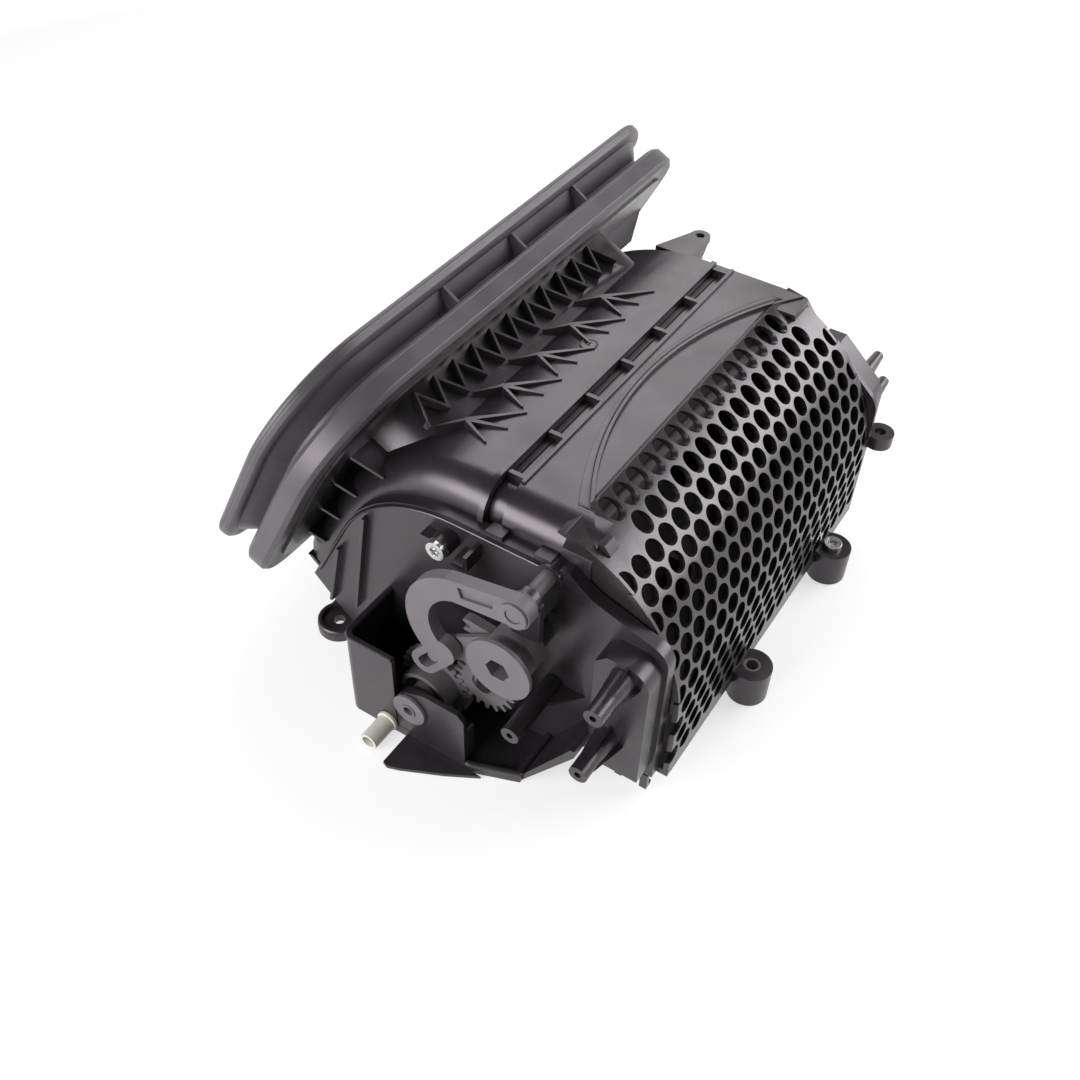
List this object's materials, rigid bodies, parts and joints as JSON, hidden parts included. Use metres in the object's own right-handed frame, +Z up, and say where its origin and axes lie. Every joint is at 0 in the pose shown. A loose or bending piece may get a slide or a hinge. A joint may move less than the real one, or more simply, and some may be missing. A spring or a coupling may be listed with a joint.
{
  "type": "vehicle climate unit air inlet housing",
  "caption": "Air inlet housing with a sealed fresh-air mouth, a perforated recirculation side and coupled flaps turned by a hooked lever and gears.",
  "frame": {"origin": "centre of the bounding box at the base", "axes": "+X from the drive side to the far side, +Y towards the fresh-air mouth, +Z up"},
  "size_m": [0.356, 0.2756, 0.1854],
  "materials": {
    "shell_black": "satin moulded",
    "grille_black": "semi-gloss moulded",
    "seal_rubber": "matte",
    "drive_grey": "satin moulded",
    "flap_black": "matte moulded",
    "zinc_steel": "bright zinc",
    "natural_white": "natural moulded"
  },
  "bodies": {
    "housing": {"roof_shell": "shell_black", "top_cover": "shell_black", "recirculation_grille": "grille_black", "base_frame": "shell_black", "drive_side_wall": "shell_black", "far_side_wall": "shell_black", "cowl_seal": "seal_rubber", "bearing_bracket": "shell_black", "bracket_bush": "drive_grey", "far_bushes": "drive_grey", "idler_pin": "zinc_steel", "parting_screw": "zinc_steel", "lug_screw": "zinc_steel", "lug_sleeves": "drive_grey", "guide_sleeve": "natural_white", "locating_tongue": "shell_black", "cover_latch": "shell_black"},
    "fresh_flap": {"fresh_flap": "flap_black", "fresh_flap_rim": "seal_rubber", "fresh_flap_shaft": "drive_grey", "flap_gear": "drive_grey"},
    "recirc_flap": {"recirc_flap": "flap_black", "recirc_flap_rim": "seal_rubber", "recirc_flap_shaft": "drive_grey", "hook_lever": "drive_grey", "lever_washer": "drive_grey"},
    "drive": {"drive_disc": "drive_grey", "drive_sector": "drive_grey"},
    "idler": {"idler_gear": "drive_grey"}
  },
  "joints": [
    {"name": "fresh_flap_turn", "type": "hinge", "parent": "housing", "child": "fresh_flap", "pos_m": [0, 0.0002, 0.027], "axis": [-1, 0, 0], "range_deg": [0, 80]},
    {"name": "recirc_flap_turn", "type": "hinge", "parent": "housing", "child": "recirc_flap", "pos_m": [0, -0.0538, 0.123], "axis": [-1, 0, 0], "range_deg": [0, 30]},
    {"name": "drive_turn", "type": "hinge", "parent": "housing", "child": "drive", "pos_m": [0, -0.0478, 0.085], "axis": [-1, 0, 0], "range_deg": [0, 55]},
    {"name": "idler_turn", "type": "hinge", "parent": "housing", "child": "idler", "pos_m": [0, -0.02972, 0.04516], "axis": [-1, 0, 0], "range_deg": [-97.8, 0]}
  ],
  "couplings": [
    {"joint": "recirc_flap_turn", "follows": "fresh_flap_turn", "ratio": 0.375},
    {"joint": "drive_turn", "follows": "fresh_flap_turn", "ratio": 0.6875},
    {"joint": "idler_turn", "follows": "fresh_flap_turn", "ratio": -1.2222}
  ]
}
